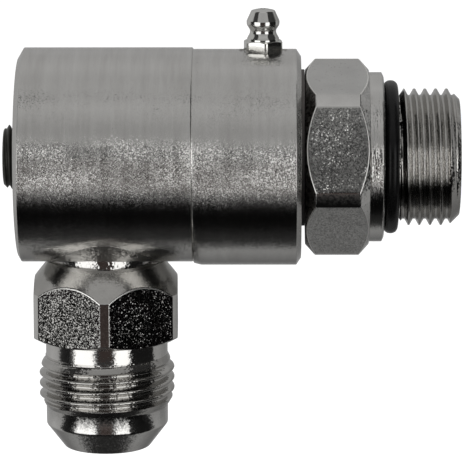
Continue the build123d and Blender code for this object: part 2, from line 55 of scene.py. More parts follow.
def hexAngles(hexagon, flatSteps=8, edgeSteps=5, stripSteps=3):
    # Angles round a hexagon: every twelfth part runs from a flat's middle to a corner's,
    # in closer steps for a degree on each side of the flat's edge
    border = hexBorder(hexagon)
    half = np.concatenate([
        np.linspace(0, border - 1, flatSteps, endpoint=False),
        np.linspace(border - 1, border + 1, edgeSteps, endpoint=False),
        np.linspace(border + 1, 30, stripSteps + 1),
    ])
    sixth = np.concatenate([-half[:0:-1], half[:-1]])
    ring = np.add.outer(60 * np.arange(6), sixth).ravel() + hexagon["turn"]
    return np.append(ring, ring[0] + 360)


def hexRadius(angle, hexagon):
    # Half the flats over the cosine of the angle from the nearest flat's middle,
    # eased into the turned radius where that is less
    fold = np.radians((angle - hexagon["turn"] + 30) % 60 - 30)
    flat = hexagon["flats"] / 2 / np.cos(fold)
    soft = hexagon["soft"]
    return -soft * np.logaddexp(-flat / soft, -hexagon["turned"] / 2 / soft)


def flatColumns(angle, hexagon, margin=0.2):
    # Columns of faces whose middle is nearer to a flat's middle than its edge and a margin
    middle = (angle[1:] + angle[:-1]) / 2
    fold = np.abs((middle - hexagon["turn"] + 30) % 60 - 30)
    return fold < hexBorder(hexagon) + margin


def oneRow(along, radius, angle):
    # A row at every angle: along and radius are each one number, or one for every angle
    return np.stack(np.broadcast_arrays(along, radius, angle)[:2], axis=1)


def ringRows(points, angle):
    # Plain turned rows: the same (along, radius) at every angle
    rows = np.asarray(points, float)[:, None, :]
    return np.repeat(rows, len(angle), axis=1)


def softened(rows, cuts, steps=3):
    # Each corner gives way to the curve (1-t)^2 start + 2t(1-t) corner + t^2 end,
    # held by one more row on each side
    mostCut, hold, mostHold = 0.35, 1.4, 0.45
    cuts = np.asarray(cuts, float)[:, None, None]
    toBefore = np.roll(rows, 1, axis=0) - rows
    toAfter = np.roll(rows, -1, axis=0) - rows
    toBefore[0], toAfter[-1] = 0, 0
    longBefore = np.maximum(np.linalg.norm(toBefore, axis=2, keepdims=True), 1e-9)
    longAfter = np.maximum(np.linalg.norm(toAfter, axis=2, keepdims=True), 1e-9)
    start = rows + toBefore / longBefore * np.minimum(cuts, mostCut * longBefore)
    end = rows + toAfter / longAfter * np.minimum(cuts, mostCut * longAfter)
    holdBefore = rows + toBefore / longBefore * np.minimum(hold * cuts, mostHold * longBefore)
    holdAfter = rows + toAfter / longAfter * np.minimum(hold * cuts, mostHold * longAfter)
    t = np.linspace(0, 1, steps + 1)[None, :, None, None]
    corner = 2 * t * (1 - t) * rows[:, None]
    curve = (1 - t) ** 2 * start[:, None] + corner + t ** 2 * end[:, None]
    whole = np.concatenate([holdBefore[:, None], curve, holdAfter[:, None]], axis=1)
    return whole.reshape(-1, rows.shape[1], 2)


def threadRows(angle, thread):
    # Rows wind with the helix: along = crest + pitch (turn of the row - turns of the angle) + place
    # in the groove's section, kept between the thread's ends. Depth is a clipped ramp of the
    # distance from the crest's middle; the outline limits the radius.
    pitch, crest, soft = thread["pitch"], thread["crest"] / 2, thread["round"]
    foot = crest + thread["flank"]
    side = np.array([0, crest - soft, crest + soft, 0.7 * crest + 0.3 * foot,
                     0.35 * crest + 0.65 * foot, foot - soft, foot + soft])
    places = np.concatenate([side, [pitch / 2], pitch - side[:0:-1]])
    low, high = thread["outline"][0][0], thread["outline"][-1][0]
    turns = angle / 360
    first = int(np.floor((low - thread["crestAt"]) / pitch + turns.min())) - 1
    last = int(np.ceil((high - thread["crestAt"]) / pitch + turns.max())) + 1
    section = np.add.outer(pitch * np.arange(first, last + 1), places).ravel()
    along = np.clip(thread["crestAt"] + section[:, None] - pitch * turns[None, :], low, high)
    phase = (along - thread["crestAt"]) / pitch + turns[None, :]
    fromCrest = np.abs((phase + 0.5) % 1 - 0.5) * pitch
    ramp = np.clip((fromCrest - crest) / thread["flank"], 0, 1)
    # The crest's corners are cut by the soft width
    cut = np.clip((fromCrest - crest + soft) / (4 * thread["flank"]), 0, 1)
    ramp = np.where(np.abs(fromCrest - crest) < soft + 1e-6, cut, ramp)
    groove = thread["radius"] - thread["depth"] * ramp
    limitAlong, limitRadius = np.array(thread["outline"], float).T
    radius = np.minimum(groove, np.interp(along, limitAlong, limitRadius))
    return np.stack([along, radius], axis=2)


def alongX(rows, angle):
    # Turned about the swivel axis, angle 0 at the front and 90 on top
    turn = np.radians(angle)[None, :]
    along, radius = rows[..., 0], rows[..., 1]
    return np.stack([along, -radius * np.cos(turn), radius * np.sin(turn)], axis=2)


def upright(x, way, rows, angle):
    # Turned about an upright axis at x, angle 0 at the front and 90 towards +X;
    # along is measured upwards where way is 1 and downwards where it is -1
    turn = np.radians(angle)[None, :]
    along, radius = rows[..., 0], rows[..., 1]
    return np.stack([x + radius * np.sin(turn), -radius * np.cos(turn), way * along], axis=2)


def addObject(name, data):
    item = bpy.data.objects.new(name, data)
    bpy.context.scene.collection.objects.link(item)
    return item


def surface(name, points, materials, faceMaterial=None, closed=True, smoothBelow=42):
    # A grid of points as quads, rows joined end to end when closed; the seam and poles are merged
    # and faces point outwards. The UV map holds the length along the rows and the share of a turn.
    rowCount, columnCount = points.shape[:2]
    rowPairs = np.arange(rowCount if closed else rowCount - 1)
    row, column = np.meshgrid(rowPairs, np.arange(columnCount - 1), indexing="ij")
    nextRow = (row + 1) % rowCount
    atRow = np.stack([row, row, nextRow, nextRow], axis=-1)
    atColumn = np.stack([column, column + 1, column + 1, column], axis=-1)
    faces = (atRow * columnCount + atColumn).reshape(-1, 4)
    step = np.linalg.norm(np.diff(points, axis=0, prepend=points[:1]), axis=2).mean(axis=1)
    length = np.cumsum(step)
    uv = np.stack([length[atRow], atColumn / (columnCount - 1) * 100], axis=-1).reshape(-1, 2)

    mesh = bpy.data.meshes.new(name)
    mesh.from_pydata((points.reshape(-1, 3) * mm).tolist(), [], faces.tolist())
    layer = mesh.uv_layers.new(name="turned")
    layer.data.foreach_set("uv", uv.astype(np.float32).ravel())
    for material in materials:
        mesh.materials.append(material)
    if faceMaterial is not None:
        slots = faceMaterial[: len(rowPairs)].astype(np.int32).ravel()
        mesh.polygons.foreach_set("material_index", slots)
    mesh.polygons.foreach_set("use_smooth", np.ones(len(faces), bool))
    merged = bmesh.new()
    merged.from_mesh(mesh)
    bmesh.ops.remove_doubles(merged, verts=merged.verts, dist=2e-7)
    bmesh.ops.recalc_face_normals(merged, faces=merged.faces)
    merged.to_mesh(mesh)
    merged.free()
    mesh.set_sharp_from_angle(angle=np.radians(smoothBelow))
    return addObject(name, mesh)


def cutWith(piece, cutter, smoothBelow=20):
    # Takes the cutter out of the piece and bakes the result
    modifier = piece.modifiers.new("cut", "BOOLEAN")
    modifier.operation = "DIFFERENCE"
    modifier.solver = "EXACT"
    modifier.object = cutter
    graph = bpy.context.evaluated_depsgraph_get()
    graph.update()
    baked = bpy.data.meshes.new_from_object(piece.evaluated_get(graph), depsgraph=graph)
    piece.modifiers.clear()
    whole, tool = piece.data, cutter.data
    piece.data = baked
    bpy.data.objects.remove(cutter)
    for mesh in (whole, tool):
        bpy.data.meshes.remove(mesh)
    baked.set_sharp_from_angle(angle=np.radians(smoothBelow))


def trueNormals(piece, radius, rise):
    # Long faces beside a cut keep the cylinder's own normals: (0, y, z - rise) over its length,
    # where a corner lies that far from the axis and its face looks the same way
    nearShell, sameWay = 0.03, 0.999
    mesh = piece.data
    place = np.empty(len(mesh.vertices) * 3)
    mesh.vertices.foreach_get("co", place)
    vertexOf = np.empty(len(mesh.loops), int)
    mesh.loops.foreach_get("vertex_index", vertexOf)
    count = np.empty(len(mesh.polygons), int)
    mesh.polygons.foreach_get("loop_total", count)
    facing = np.empty(len(mesh.polygons) * 3)
    mesh.polygons.foreach_get("normal", facing)
    present = np.empty(len(mesh.loops) * 3, np.float32)
    mesh.corner_normals.foreach_get("vector", present)
    facing, present = facing.reshape(-1, 3), present.reshape(-1, 3)
    corner = place.reshape(-1, 3)[vertexOf] / mm - (0, 0, rise)
    corner[:, 0] = 0
    reach = np.maximum(np.linalg.norm(corner, axis=1, keepdims=True), 1e-6)
    outward = corner / reach
    agrees = (outward * np.repeat(facing, count, axis=0)).sum(axis=1) > sameWay
    onShell = (np.abs(reach[:, 0] - radius) < nearShell) & agrees
    mesh.normals_split_custom_set(np.where(onShell[:, None], outward, present).tolist())


# Finishes

def newMaterial(name):
    material = bpy.data.materials.new(name)
    material.use_nodes = True
    nodes, links = material.node_tree.nodes, material.node_tree.links
    return material, nodes, links, nodes["Principled BSDF"]


def stretchedNoise(nodes, links, coordinates, scale, detail=2.0, roughness=0.5):
    # Noise whose scale differs along x, y and z, in cycles per millimetre
    mapping = nodes.new("ShaderNodeMapping")
    mapping.inputs["Scale"].default_value = [1000 * s for s in scale]
    links.new(coordinates, mapping.inputs["Vector"])
    noise = nodes.new("ShaderNodeTexNoise")
    noise.inputs["Scale"].default_value = 1.0
    noise.inputs["Detail"].default_value = detail
    noise.inputs["Roughness"].default_value = roughness
    links.new(mapping.outputs["Vector"], noise.inputs["Vector"])
    return noise.outputs["Fac"]


def ranged(nodes, links, value, low, high, toLow, toHigh, kind="LINEAR"):
    node = nodes.new("ShaderNodeMapRange")
    node.interpolation_type = kind
    names = ("From Min", "From Max", "To Min", "To Max")
    for name, number in zip(names, (low, high, toLow, toHigh)):
        node.inputs[name].default_value = number
    links.new(value, node.inputs["Value"])
    return node.outputs["Result"]


def arithmetic(nodes, links, operation, first, second=None):
    node = nodes.new("ShaderNodeMath")
    node.operation = operation
    for socket, value in zip(node.inputs, (first, second)):
        if isinstance(value, (int, float)):
            socket.default_value = value
        elif value is not None:
            links.new(value, socket)
    return node.outputs["Value"]


def vectorStep(nodes, links, operation, first, second=None):
    node = nodes.new("ShaderNodeVectorMath")
    node.operation = operation
    for socket, value in zip(node.inputs, (first, second)):
        if isinstance(value, tuple):
            socket.default_value = value
        elif value is not None:
            links.new(value, socket)
    return node.outputs["Vector"]


def blend(nodes, links, kind, factor, first, second):
    # A mix of two numbers (kind FLOAT) or two colours (kind RGBA)
    node = nodes.new("ShaderNodeMix")
    node.data_type = kind
    wanted = "VALUE" if kind == "FLOAT" else kind
    ends = [socket for socket in node.inputs if socket.type == wanted and socket.name in "AB"]
    for socket, value in zip((node.inputs[0], *ends), (factor, first, second)):
        if isinstance(value, tuple):
            socket.default_value = (*value, 1)
        elif isinstance(value, float):
            socket.default_value = value
        else:
            links.new(value, socket)
    return [socket for socket in node.outputs if socket.type == wanted][0]


def bumped(nodes, links, marks, height):
    # The normal of marks that stand up to height millimetres high
    bump = nodes.new("ShaderNodeBump")
    bump.inputs["Strength"].default_value = 1.0
    bump.inputs["Distance"].default_value = mm
    links.new(arithmetic(nodes, links, "MULTIPLY", marks, height), bump.inputs["Height"])
    return bump.outputs["Normal"]


def grainTilt(nodes, links, place, perMillimetre, tilt):
    # Every grain of the plating leans its own way: a random number from -1 to 1 along x, y and z,
    # times the most it leans
    cells = nodes.new("ShaderNodeTexVoronoi")
    cells.inputs["Scale"].default_value = 1000 * perMillimetre
    links.new(place, cells.inputs["Vector"])
    centred = vectorStep(nodes, links, "SUBTRACT", cells.outputs["Color"], (0.5, 0.5, 0.5))
    return vectorStep(nodes, links, "MULTIPLY", centred, tuple(2 * t for t in tilt))


def platedSteel(name, look):
    # Plated steel: leaning grains, turning marks as bump, clouded tone, small dark pits
    look = {**plainLook, **look}
    material, nodes, links, shader = newMaterial(name)
    place = nodes.new("ShaderNodeTexCoord").outputs["Object"]
    shader.inputs["Metallic"].default_value = 1.0
    clouds = stretchedNoise(nodes, links, place, look["cloudScale"], 3.0, 0.6)
    tone = ranged(nodes, links, clouds, 0.3, 0.7, 0, 1)
    colour = blend(nodes, links, "RGBA", tone, look["dark"], look["pale"])
    pits = stretchedNoise(nodes, links, place, look["pitScale"], 2.0, 0.6)
    edge = look["pitFrom"]
    pitMask = ranged(nodes, links, pits, edge, edge + 0.05, 0, look["pitDepth"])
    colour = blend(nodes, links, "RGBA", pitMask, colour, look["pitColour"])
    links.new(colour, shader.inputs["Base Color"])
    rough = ranged(nodes, links, clouds, 0.3, 0.7, *look["roughness"])
    links.new(rough, shader.inputs["Roughness"])
    if look["anisotropic"]:
        shader.inputs["Anisotropic"].default_value = look["anisotropic"]
        tangent = nodes.new("ShaderNodeTangent")
        tangent.direction_type = "UV_MAP"
        tangent.uv_map = "turned"
        links.new(tangent.outputs["Tangent"], shader.inputs["Tangent"])
    marks = stretchedNoise(nodes, links, place, look["markScale"], 2.0, 0.7)
    normal = bumped(nodes, links, marks, look["markHeight"])
    patches = stretchedNoise(nodes, links, place, look["patchScale"], 2.0, 0.5)
    strength = ranged(nodes, links, patches, 0.36, 0.64, *look["patchGrain"])
    for perMillimetre, tilt in look["grains"]:
        lean = nodes.new("ShaderNodeVectorMath")
        lean.operation = "SCALE"
        links.new(grainTilt(nodes, links, place, perMillimetre, tilt), lean.inputs["Vector"])
        links.new(strength, lean.inputs["Scale"])
        normal = vectorStep(nodes, links, "ADD", normal, lean.outputs["Vector"])
    links.new(vectorStep(nodes, links, "NORMALIZE", normal), shader.inputs["Normal"])
    return material


# Scales are cycles a millimetre, mark heights millimetres; a grain is (cells a millimetre, lean).
# What a look doesn't name is as in plainLook.
plainLook = {
    "dark": (0.57, 0.56, 0.54), "pale": (0.66, 0.652, 0.632), "cloudScale": (0.12, 0.12, 0.12),
    "pitScale": (1.1, 1.1, 1.1), "pitFrom": 0.74, "pitDepth": 0.6, "pitColour": (0.16, 0.15, 0.14),
    "roughness": (0.14, 0.18), "anisotropic": 0.0, "markScale": (6.0, 0.2, 0.2), "markHeight": 0.0,
    "grains": [], "patchScale": (0.2, 0.2, 0.2), "patchGrain": (0.9, 1.1),
}
barrelLook = {
    "cloudScale": (0.5, 0.05, 0.05), "roughness": (0.19, 0.24), "anisotropic": 0.85,
    "markScale": (7.0, 0.1, 0.1), "markHeight": 0.003, "patchScale": (0.09, 0.2, 0.2),
    "patchGrain": (0.68, 1.12), "grains": [(5.5, (0.2, 0.04, 0.04)), (1.9, (0.02, 0.012, 0.012))],
}
endFaceLook = {
    "dark": (0.42, 0.41, 0.4), "pale": (0.5, 0.49, 0.475), "roughness": (0.36, 0.44),
    "pitScale": (2.2, 2.2, 2.2), "pitFrom": 0.64, "pitDepth": 0.5, "patchGrain": (0.7, 1.2),
    "grains": [(3.4, (0.03, 0.12, 0.12))],
}
hexFlatLook = {
    "dark": (0.54, 0.535, 0.52), "pale": (0.62, 0.615, 0.595), "roughness": (0.09, 0.12),
    "pitScale": (1.7, 1.7, 1.7), "pitFrom": 0.67, "pitDepth": 0.45, "patchGrain": (0.8, 1.15),
    "grains": [(4.4, (0.135, 0.025, 0.025))],
}
adapterFlatLook = {
    "dark": (0.3, 0.295, 0.285), "pale": (0.36, 0.355, 0.34), "roughness": (0.1, 0.13),
    "pitScale": (3.6, 3.6, 3.6), "pitFrom": 0.46, "pitDepth": 1.0,
    "pitColour": (0.012, 0.011, 0.01), "patchGrain": (0.8, 1.15),
    "grains": [(5.0, (0.13, 0.13, 0.1)), (3.4, (0.05, 0.05, 0.04))],
}
turnedLook = {
    "roughness": (0.14, 0.2), "markScale": (2.4, 0.1, 0.1), "markHeight": 0.12, "anisotropic": 0.6,
    "grains": [(4.0, (0.15, 0.02, 0.02))],
}
coneLook = {
    "dark": (0.42, 0.41, 0.39), "pale": (0.5, 0.49, 0.47), "roughness": (0.13, 0.18),
    "markScale": (0.15, 0.15, 3.0), "markHeight": 0.01, "grains": [(4.0, (0.03, 0.03, 0.04))],
}
filletLook = {"roughness": (0.26, 0.34), "grains": [(3.6, (0.1, 0.1, 0.1))]}
stripLook = {"roughness": (0.09, 0.13), "grains": [(2.6, (0.05, 0.02, 0.04))]}
uprightLook = {
    "roughness": (0.08, 0.12), "markScale": (0.15, 0.15, 4.0), "markHeight": 0.008,
    "grains": [(4.0, (0.03, 0.03, 0.06))],
}
threadLook = {
    "dark": (0.44, 0.43, 0.41), "pale": (0.52, 0.51, 0.49), "roughness": (0.1, 0.16),
    "grains": [(4.0, (0.12, 0.04, 0.04))],
}
# Painted highlight: pale steel for the bright lines along hex edges, where edges catch the light
paintedHighlightLook = {"dark": (0.8, 0.79, 0.76), "pale": (0.9, 0.89, 0.86), "roughness": (0.3, 0.36)}
nippleLook = {
    "dark": (0.66, 0.655, 0.63), "pale": (0.74, 0.735, 0.71), "roughness": (0.08, 0.12),
    "pitFrom": 0.95,
}
# Painted shade: near-black steel for the stem's hidden neck and left hex chamfer, standing in for
# their shadow in the gap
paintedShadeLook = {
    "dark": (0.02, 0.019, 0.017), "pale": (0.22, 0.21, 0.2), "cloudScale": (1.2, 1.2, 1.2),
    "roughness": (0.2, 0.4), "grains": [(4.0, (0.2, 0.1, 0.1))],
}
brazeLook = {
    "roughness": (0.1, 0.14), "markScale": (0.7, 0.7, 0.7), "markHeight": 0.12,
    "grains": [(3.0, (0.06, 0.06, 0.06))],
}

barrelSteel = platedSteel("barrelSteel", barrelLook)
endFaceSteel = platedSteel("endFaceSteel", endFaceLook)
stemFlatSteel = platedSteel("stemFlatSteel", hexFlatLook)
stemTurnedSteel = platedSteel("stemTurnedSteel", turnedLook)
stemStripSteel = platedSteel("stemStripSteel", stripLook)
threadSteel = platedSteel("threadSteel", threadLook)
adapterFlatSteel = platedSteel("adapterFlatSteel", adapterFlatLook)
adapterTurnedSteel = platedSteel("adapterTurnedSteel", uprightLook)
nippleSteel = platedSteel("nippleSteel", nippleLook)
# painted shade for the stem's shadowed neck and left chamfer
paintedShadeSteel = platedSteel("paintedShadeSteel", paintedShadeLook)
# painted highlight for bright edge lines on the hexagons
paintedHighlightSteel = platedSteel("paintedHighlightSteel", paintedHighlightLook)
coneSteel = platedSteel("coneSteel", coneLook)
filletSteel = platedSteel("filletSteel", filletLook)
braze = platedSteel("braze", brazeLook)


def softDark(name, look):
    # Rubber, black oxide or plastic: fine grain as bump, faint clouding of the colour
    material, nodes, links, shader = newMaterial(name)
    place = nodes.new("ShaderNodeTexCoord").outputs["Object"]
    clouds = stretchedNoise(nodes, links, place, (0.4, 0.4, 0.4), 3.0, 0.6)
    colour = blend(nodes, links, "RGBA", clouds, look["dark"], look["pale"])
    links.new(colour, shader.inputs["Base Color"])
    rough = ranged(nodes, links, clouds, 0.3, 0.7, *look["roughness"])
    links.new(rough, shader.inputs["Roughness"])
    shader.inputs["Metallic"].default_value = look["metallic"]
    shader.inputs["Specular IOR Level"].default_value = look["gloss"]
    grain = stretchedNoise(nodes, links, place, (5.0, 5.0, 5.0), 2.0, 0.6)
    links.new(bumped(nodes, links, grain, look["grain"]), shader.inputs["Normal"])
    return material


blackRubber = softDark("blackRubber", {
    "dark": (0.001, 0.001, 0.0012), "pale": (0.004, 0.004, 0.004), "roughness": (0.2, 0.3),
    "metallic": 0.0, "gloss": 0.2, "grain": 0.01,
})
dustyRubber = softDark("dustyRubber", {
    "dark": (0.02, 0.018, 0.017), "pale": (0.06, 0.055, 0.052), "roughness": (0.5, 0.6),
    "metallic": 0.0, "gloss": 0.3, "grain": 0.02,
})
blackOxide = softDark("blackOxide", {
    "dark": (0.03, 0.03, 0.026), "pale": (0.07, 0.07, 0.06), "roughness": (0.3, 0.42),
    "metallic": 0.7, "gloss": 0.5, "grain": 0.012,
})
sealPlastic = softDark("sealPlastic", {
    "dark": (0.5, 0.48, 0.42), "pale": (0.6, 0.58, 0.52), "roughness": (0.4, 0.5),
    "metallic": 0.0, "gloss": 0.5, "grain": 0.004,
})
print("materials made")


# Stem: boss stud, collar, hexagon, neck and journal. Cuts are the widths that soften its corners.

stem = {
    "journal": 11.1, "left": -48.9, "bore": 7.75, "mouth": 0.6, "hub": 11.3, "hubLeft": -32.5,
    "hubRight": -22.6, "grooveLeft": -33.6, "grooveRadius": 10.75, "neck": 13.25,
    "hexLeft": -18.5, "hexRight": -6.0, "hexFace": 17.2, "hexChamfer": 1.95,
    "collar": 16.7, "collarRight": -3.1, "collarAxial": 0.38, "collarRadial": 0.8,
    "undercut": 12.1, "studEnd": 11.8, "studTip": 11.475,
    "mouthCuts": (0.2, 0.1, 0.1), "hexCuts": (0.1, 0.14, 0.14, 0.1),
    "collarCuts": (0.0, 0.14, 0.14, 0.2, 0.0), "flatReach": 6.2, "flatFrom": 17.0,
}
stemHex = {"flats": 34.925, "turned": 38.725, "turn": 14.3, "soft": 0.03}
bossThread = {
    "pitch": 2.1167, "crest": 0.26, "flank": 0.72, "depth": 1.25, "radius": 13.475,
    "crestAt": 1.45, "round": 0.05,
    "outline": [(0.0, 12.1), (0.9, 13.475), (9.8, 13.475), (11.6, 11.675)],
}


def hexRows(left, right, faceRadius, chamfer, hexagon, angle):
    # A turned chamfer meets each flat where the chamfer's cone is as wide as the flat is there
    wide = hexRadius(angle, hexagon)
    slope = (hexagon["turned"] / 2 - faceRadius) / chamfer
    reach = (wide - faceRadius) / slope
    return np.stack([
        oneRow(left, faceRadius, angle),
        oneRow(left + reach, wide, angle),
        oneRow(right - reach, wide, angle),
        oneRow(right, faceRadius, angle),
    ])


def buildStem():
    s, angle = stem, hexAngles(stemHex)
    before = ringRows([
        (s["studEnd"], s["studTip"]), (s["studEnd"], s["bore"] + s["mouth"]),
        (s["studEnd"] - s["mouth"], s["bore"]), (s["left"] + s["mouth"], s["bore"]),
        (s["left"], s["bore"] + s["mouth"]), (s["left"], s["journal"] - s["mouth"]),
        (s["left"] + s["mouth"], s["journal"]), (s["grooveLeft"], s["journal"]),
        (s["grooveLeft"], s["grooveRadius"]), (s["hubLeft"], s["grooveRadius"]),
        (s["hubLeft"], s["hub"]), (s["hubRight"], s["hub"]),
        (s["hubRight"], s["neck"]), (s["hexLeft"], s["neck"]),
    ], angle)
    hexagon = hexRows(s["hexLeft"], s["hexRight"], s["hexFace"], s["hexChamfer"], stemHex, angle)
    after = ringRows([
        (s["hexRight"], s["collar"]), (s["collarRight"] - s["collarAxial"], s["collar"]),
        (s["collarRight"], s["collar"] - s["collarRadial"]), (s["collarRight"], s["undercut"]),
        (0.0, s["undercut"]),
    ], angle)
    sharp = [0.0] * (len(before) - len(s["mouthCuts"]))
    cuts = [*s["mouthCuts"], *sharp, *s["hexCuts"], *s["collarCuts"]]
    rows = softened(np.concatenate([before, hexagon, after]), cuts)
    whole = np.concatenate([rows, threadRows(angle, bossThread)])
    # Flats are speckled and the strips between them smooth, the rest is turned, the stud threaded
    turned, flat, threaded, paintedShade, paintedHighlight, strip = range(6)
    along, radius = whole.mean(axis=1).T
    onFlat = flatColumns(angle, stemHex)
    fromMiddle = np.abs(along - (s["hexLeft"] + s["hexRight"]) / 2)
    inHex = (fromMiddle < s["flatReach"]) & (radius > s["flatFrom"])
    faceMaterial = np.where(inHex[:, None], np.where(onFlat[None, :], flat, strip), turned)
    faceMaterial[len(rows):] = threaded
    # Hidden neck and left chamfer get painted shade, near-black steel for their shadow in the gap,
    # and the flats' ends get a painted highlight, a bright edge line
    leftEdge = len(before) + 1
    faceMaterial[(len(before) - 2) * cornerRows:leftEdge * cornerRows + 1] = paintedShade
    for corner in (leftEdge, leftEdge + 1):
        faceMaterial[corner * cornerRows + 1:corner * cornerRows + 4, onFlat] = paintedHighlight
    steels = [stemTurnedSteel, stemFlatSteel, threadSteel, paintedShadeSteel, paintedHighlightSteel, stemStripSteel]
    piece = surface("stemBody", alongX(whole, angle), steels, faceMaterial)
    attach(piece, "stem_side")
    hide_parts("stem")


buildStem()
print("stem made")


# Barrel: elbow body and bearing housing

barrel = {
    "left": -74.93, "seam": -40.55, "right": -19.3, "elbow": 21.14, "rise": 0.48,
    "endFace": 19.64, "endSlope": 0.57735, "seamCorner": 0.15, "bevelLength": 0.25,
    "bevelHeight": 0.3, "spigot": 18.0, "threadEnd": -34.35, "race": 17.3, "spigotEnd": -33.65,
    "sealFloor": -37.75, "sealRadius": 13.6, "journal": 11.16, "glandRight": -41.3,
    "glandLeft": -47.3, "gland": 13.4, "chamberRight": -49.4, "chamberLeft": -66.54,
    "chamber": 9.5, "pilot": 5.5, "plugInner": -67.64, "plugBore": 6.38, "housing": 21.3,
    "taper": 14.0, "leastTaper": 0.05, "seamStep": 0.02, "chamferAxial": 0.95,
    "chamferRadial": 1.45, "raceSeat": -21.75, "spigotRoom": 0.2, "neckBore": 13.35,
    "wiperLeft": -21.2, "wiper": 15.2, "elbowCuts": (0.12, 0.12, 0.1, 0.05), "plugMouthCut": 0.25,
    "housingCuts": (0.0, 0.03, 0.06, 0.3, 0.12, 0.12, 0.15),
}
port = {
    "x": -57.97, "bore": 7.75, "seat": 12.0, "spigot": 9.32, "face": 18.86, "faceRadius": 11.68,
    "cutTo": 24.0,
}


def offCentre(angle, radius, rise):
    # Distance from the swivel axis to a circle whose middle stands rise above it:
    # rise sin + sqrt(radius^2 - rise^2 cos^2)
    turn = np.radians(angle)
    return rise * np.sin(turn) + np.sqrt(radius ** 2 - (rise * np.cos(turn)) ** 2)


def buildElbow():
    b, angle = barrel, evenAngles(192)
    outside = offCentre(angle, b["elbow"], b["rise"])
    endReach = (outside - b["endFace"]) * b["endSlope"]
    seamInside = offCentre(angle, b["elbow"] - b["seamCorner"], b["rise"])
    shell = np.stack([
        oneRow(b["left"], b["endFace"], angle),
        oneRow(b["left"] + endReach, outside, angle),
        oneRow(b["seam"] - b["seamCorner"], outside, angle),
        oneRow(b["seam"], seamInside, angle),
    ])
    inside = ringRows([
        (b["seam"], b["spigot"]), (b["threadEnd"], b["spigot"]), (b["threadEnd"], b["race"]),
        (b["spigotEnd"], b["race"]), (b["spigotEnd"], b["sealRadius"]),
        (b["sealFloor"], b["sealRadius"]), (b["sealFloor"], b["journal"]),
        (b["glandRight"], b["journal"]), (b["glandRight"], b["gland"]),
        (b["glandLeft"], b["gland"]), (b["glandLeft"], b["journal"]),
        (b["chamberRight"], b["journal"]), (b["chamberRight"], b["chamber"]),
        (b["chamberLeft"], b["chamber"]), (b["chamberLeft"], b["pilot"]),
        (b["plugInner"], b["pilot"]), (b["plugInner"], b["plugBore"]), (b["left"], b["plugBore"]),
    ], angle)
    cuts = [*b["elbowCuts"], *[0.0] * (len(inside) - 1), b["plugMouthCut"]]
    rows = softened(np.concatenate([shell, inside]), cuts)
    # The closing row is the left end face
    faceMaterial = np.zeros((len(rows), len(angle) - 1), int)
    faceMaterial[-1] = 1
    piece = surface("elbowBarrel", alongX(rows, angle), [barrelSteel, endFaceSteel], faceMaterial)
    p, ring = port, evenAngles(128)
    hole = ringRows([
        (0.0, 0.0), (0.0, p["bore"]), (p["seat"], p["bore"]), (p["seat"], p["spigot"]),
        (p["face"], p["spigot"]), (p["face"], p["faceRadius"]), (p["cutTo"], p["faceRadius"]),
        (p["cutTo"], 0.0),
    ], ring)
    cutter = upright(p["x"], -1, hole, ring)
    cutWith(piece, surface("portCutter", cutter, [barrelSteel], closed=False))
    trueNormals(piece, b["elbow"], b["rise"])
    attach(piece, "barrel")
    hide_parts("elbow_body")


fitting = {
    "x": -26.76, "seat": 20.95, "spotFace": 4.7, "hexFace": 3.5, "hexHeight": 2.3, "root": 3.2,
    "neck": 2.55, "neckHeight": 4.1, "head": 3.225, "headHeight": 5.9, "rim": 0.5, "top": 2.31,
    "topHeight": 8.18, "tip": 0.95, "tipHeight": 8.5, "orifice": 0.55, "orificeDepth": 0.6,
    "seatDepth": 0.45, "chamber": 1.15, "chamberDepth": 5.0, "hole": 0.8, "thread": 3.175,
    "threadLength": 2.9, "threadRoom": 0.005, "cutPast": 2.0, "footEase": 0.05,
    "hexCuts": (0.0, 0.0, 0.0, 0.08, 0.08), "capCuts": (0.12, 0.12, 0.2, 0.15, 0.08),
}


